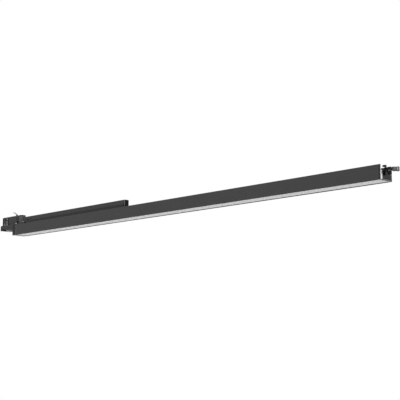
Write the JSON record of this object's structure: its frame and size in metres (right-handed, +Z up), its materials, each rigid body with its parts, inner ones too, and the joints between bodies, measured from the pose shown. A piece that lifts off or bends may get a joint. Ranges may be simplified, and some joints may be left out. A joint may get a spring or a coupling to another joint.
{
  "type": "led strip batten",
  "caption": "Slim linear LED batten in a black aluminium channel with an opal diffuser, a track adaptor and driver at one end and a turning latch at the other.",
  "frame": {"origin": "middle of the whole part's length and width, at the height of its underside", "axes": "+X along the batten from the electrical adaptor towards the latch, +Z up from the light side to the track side, +Y across, away from the contacts' side"},
  "size_m": [1.2354, 0.0366, 0.0665],
  "materials": {
    "housing_black": "satin black powder coat on extruded aluminium",
    "cap_black": "glossy black moulded plastic",
    "opal_diffuser": "opal, light scattering, satin",
    "board_white": "white solder mask on an aluminium light board",
    "led_phosphor": "yellow phosphor in clear silicone",
    "connector_white": "natural moulded nylon",
    "adaptor_black": "fine-textured black moulded plastic",
    "cam_grey": "fine-textured dark grey moulded plastic",
    "lever_grey": "smooth light grey moulded plastic",
    "drum_grey": "dark grey moulded nylon",
    "contact_copper": "bright rolled copper strip",
    "contact_nickel": "bright nickel plated contact strip",
    "plated_steel": "zinc plated, brushed",
    "spring_steel": "bare spring steel strip",
    "screw_black": "black oxidised steel",
    "screw_bright": "bright zinc plated steel",
    "driver_black": "satin black coated driver case",
    "board_green": "green solder mask on glass fibre board",
    "ferrite": "sintered ferrite, dull",
    "coil_copper": "enamelled copper winding under tape",
    "capacitor_sleeve": "dark blue shrink sleeve",
    "chip_black": "black moulded epoxy",
    "lead_brown": "brown PVC insulation",
    "lead_blue": "blue PVC insulation",
    "lead_red": "red PVC insulation",
    "lead_black": "black PVC insulation",
    "grommet_rubber": "soft black rubber",
    "latch_black": "satin black die-cast latch, coated",
    "bracket_black": "satin black coated steel plate",
    "knob_black": "smooth black pivot knob"
  },
  "bodies": {
    "luminaire": {"housing_profile": "housing_black", "diffuser": "opal_diffuser", "end_cap_left": "cap_black", "end_cap_right": "cap_black", "end_cap_screws": "screw_black", "led_board_1": "board_white", "led_board_2": "board_white", "led_board_3": "board_white", "led_board_4": "board_white", "led_chips_1": "led_phosphor", "led_chips_2": "led_phosphor", "led_chips_3": "led_phosphor", "led_chips_4": "led_phosphor", "board_bridges": "connector_white", "adaptor_base": "adaptor_black", "adaptor_block": "adaptor_black", "adaptor_screws": "plated_steel", "cover_screws": "screw_bright", "phase_switch": "connector_white", "terminal_block": "connector_white", "live_bus": "contact_copper", "earth_contacts": "contact_nickel", "earth_spring_pin": "plated_steel", "driver_case": "driver_black", "driver_cover": "driver_black", "driver_plug_left": "adaptor_black", "driver_plug_right": "adaptor_black", "driver_board": "board_green", "transformer_core": "ferrite", "transformer_coil": "coil_copper", "capacitors": "capacitor_sleeve", "inductors": "ferrite", "power_transistors": "chip_black", "driver_terminals": "connector_white", "driver_cradle": "bracket_black", "cradle_screws": "plated_steel", "mains_lead_live": "lead_brown", "mains_lead_neutral": "lead_blue", "supply_lead_negative": "lead_black", "supply_lead_positive": "lead_red", "lead_grommet": "grommet_rubber", "latch_bracket": "bracket_black", "latch_bracket_screws": "screw_black", "latch_pivot": "knob_black", "latch_washer": "plated_steel"},
    "lock_drive": {"contact_drum": "drum_grey", "line_contact_1": "contact_nickel", "line_contact_2": "contact_nickel", "line_contact_3": "contact_nickel", "lock_lever": "lever_grey", "lever_screw": "plated_steel"},
    "lock_link": {"link_bar": "plated_steel"},
    "lock_cam": {"lock_cam": "cam_grey", "lock_wings": "plated_steel", "neutral_contact": "contact_nickel"},
    "phase_dial": {"phase_dial": "lever_grey"},
    "earth_spring": {"earth_spring": "spring_steel"},
    "latch": {"latch_lever": "latch_black"}
  },
  "joints": [
    {"name": "lock_lever_turn", "type": "hinge", "parent": "luminaire", "child": "lock_drive", "pos_m": [-0.59575, 0, 0.0192], "axis": [0, 0, 1], "range_deg": [0, 90]},
    {"name": "link_bar_turn", "type": "hinge", "parent": "lock_drive", "child": "lock_link", "pos_m": [-0.6007, -0.00495, 0.0262], "axis": [0, 0, -1], "range_deg": [0, 90]},
    {"name": "lock_cam_turn", "type": "hinge", "parent": "luminaire", "child": "lock_cam", "pos_m": [-0.53825, 0, 0.04], "axis": [0, 0, 1], "range_deg": [0, 90]},
    {"name": "phase_dial_turn", "type": "hinge", "parent": "luminaire", "child": "phase_dial", "pos_m": [-0.56875, 0, 0.0192], "axis": [0, 0, 1], "range_deg": [0, 180]},
    {"name": "earth_spring_press", "type": "hinge", "parent": "luminaire", "child": "earth_spring", "pos_m": [-0.55975, 0, 0.0545], "axis": [0, -1, 0], "range_deg": [0, 28], "stiffness_Nm_per_rad": 0.02},
    {"name": "latch_turn", "type": "hinge", "parent": "luminaire", "child": "latch", "pos_m": [0.60075, 0, 0.0214], "axis": [0, 0, -1], "range_deg": [0, 90]}
  ],
  "couplings": [
    {"joint": "link_bar_turn", "follows": "lock_lever_turn", "ratio": 1},
    {"joint": "lock_cam_turn", "follows": "lock_lever_turn", "ratio": 1}
  ]
}
